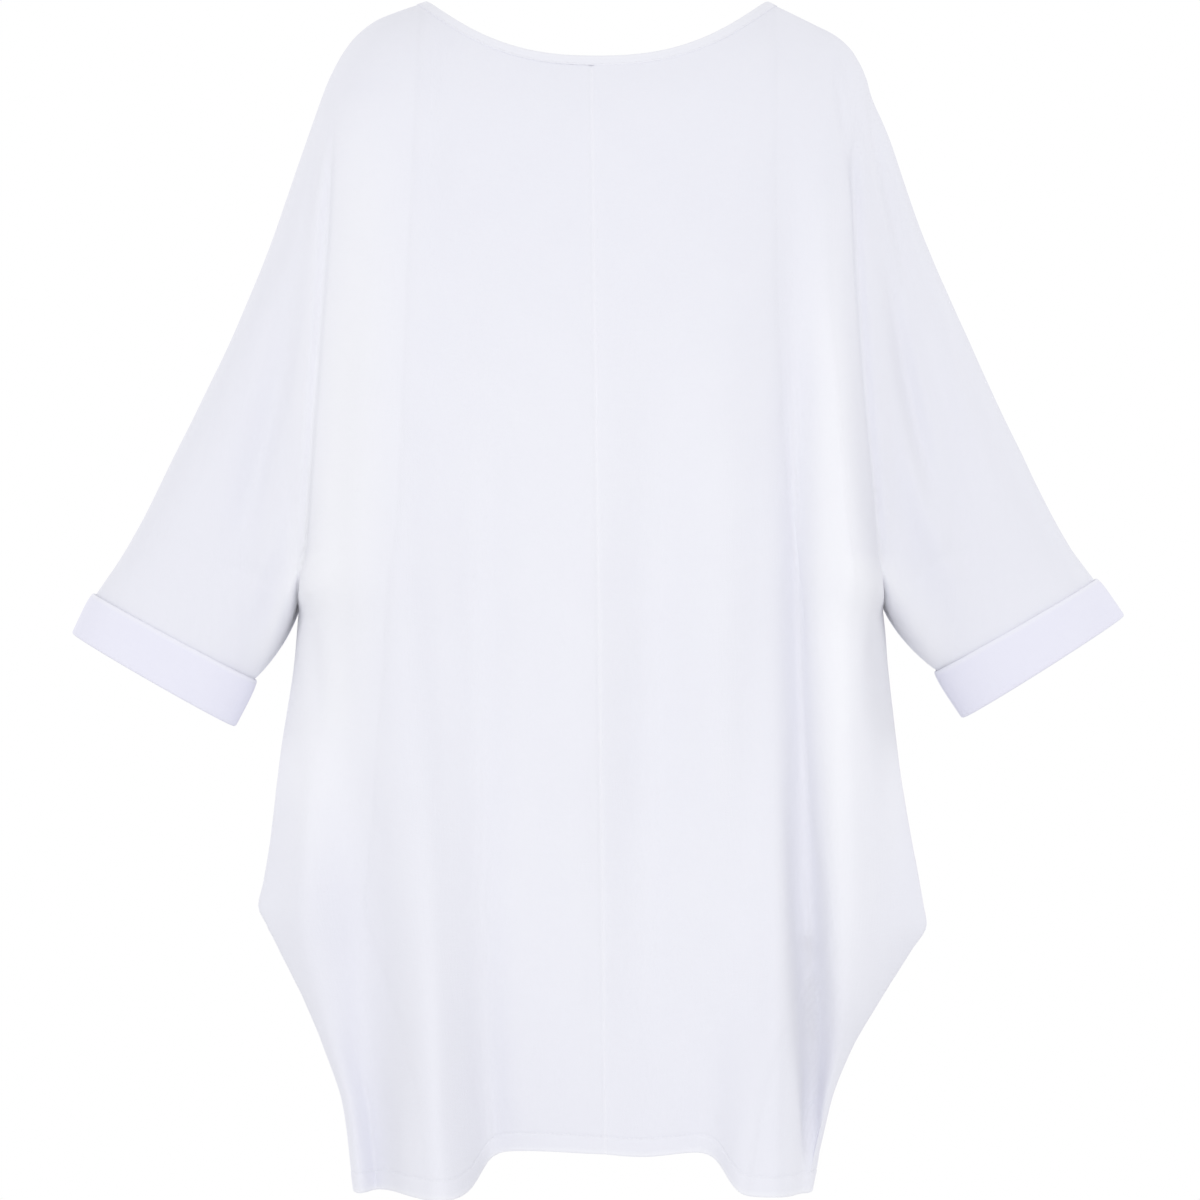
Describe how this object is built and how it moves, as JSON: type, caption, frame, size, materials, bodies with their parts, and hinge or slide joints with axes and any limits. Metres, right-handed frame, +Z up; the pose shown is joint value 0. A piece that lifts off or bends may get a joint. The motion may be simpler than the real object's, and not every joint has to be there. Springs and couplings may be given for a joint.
{
  "type": "kimono top",
  "caption": "Loose, hollow white kimono top with a boat neck, grown-on wide sleeves, folded-up cuffs, a centre-front seam and sides that flare to a point above the hem.",
  "frame": {"origin": "halfway between the two neck points, which are the tops of the shoulder seams; the wearer's shoulders carry the garment there", "axes": "+Z up along the wearer's body, -Y towards the wearer's front, +X towards the wearer's left"},
  "size_m": [0.8353, 0.3016, 0.9404],
  "materials": {
    "cloth": "matt white crepe weave",
    "cuff_cloth": "matt white crepe weave, folded double",
    "binding_cloth": "matt white bias strip"
  },
  "bodies": {
    "root": {"front_right": "cloth", "front_left": "cloth", "back_right": "cloth", "back_left": "cloth", "cuff_right": "cuff_cloth", "cuff_left": "cuff_cloth", "neck_binding": "binding_cloth"}
  },
  "joints": []
}
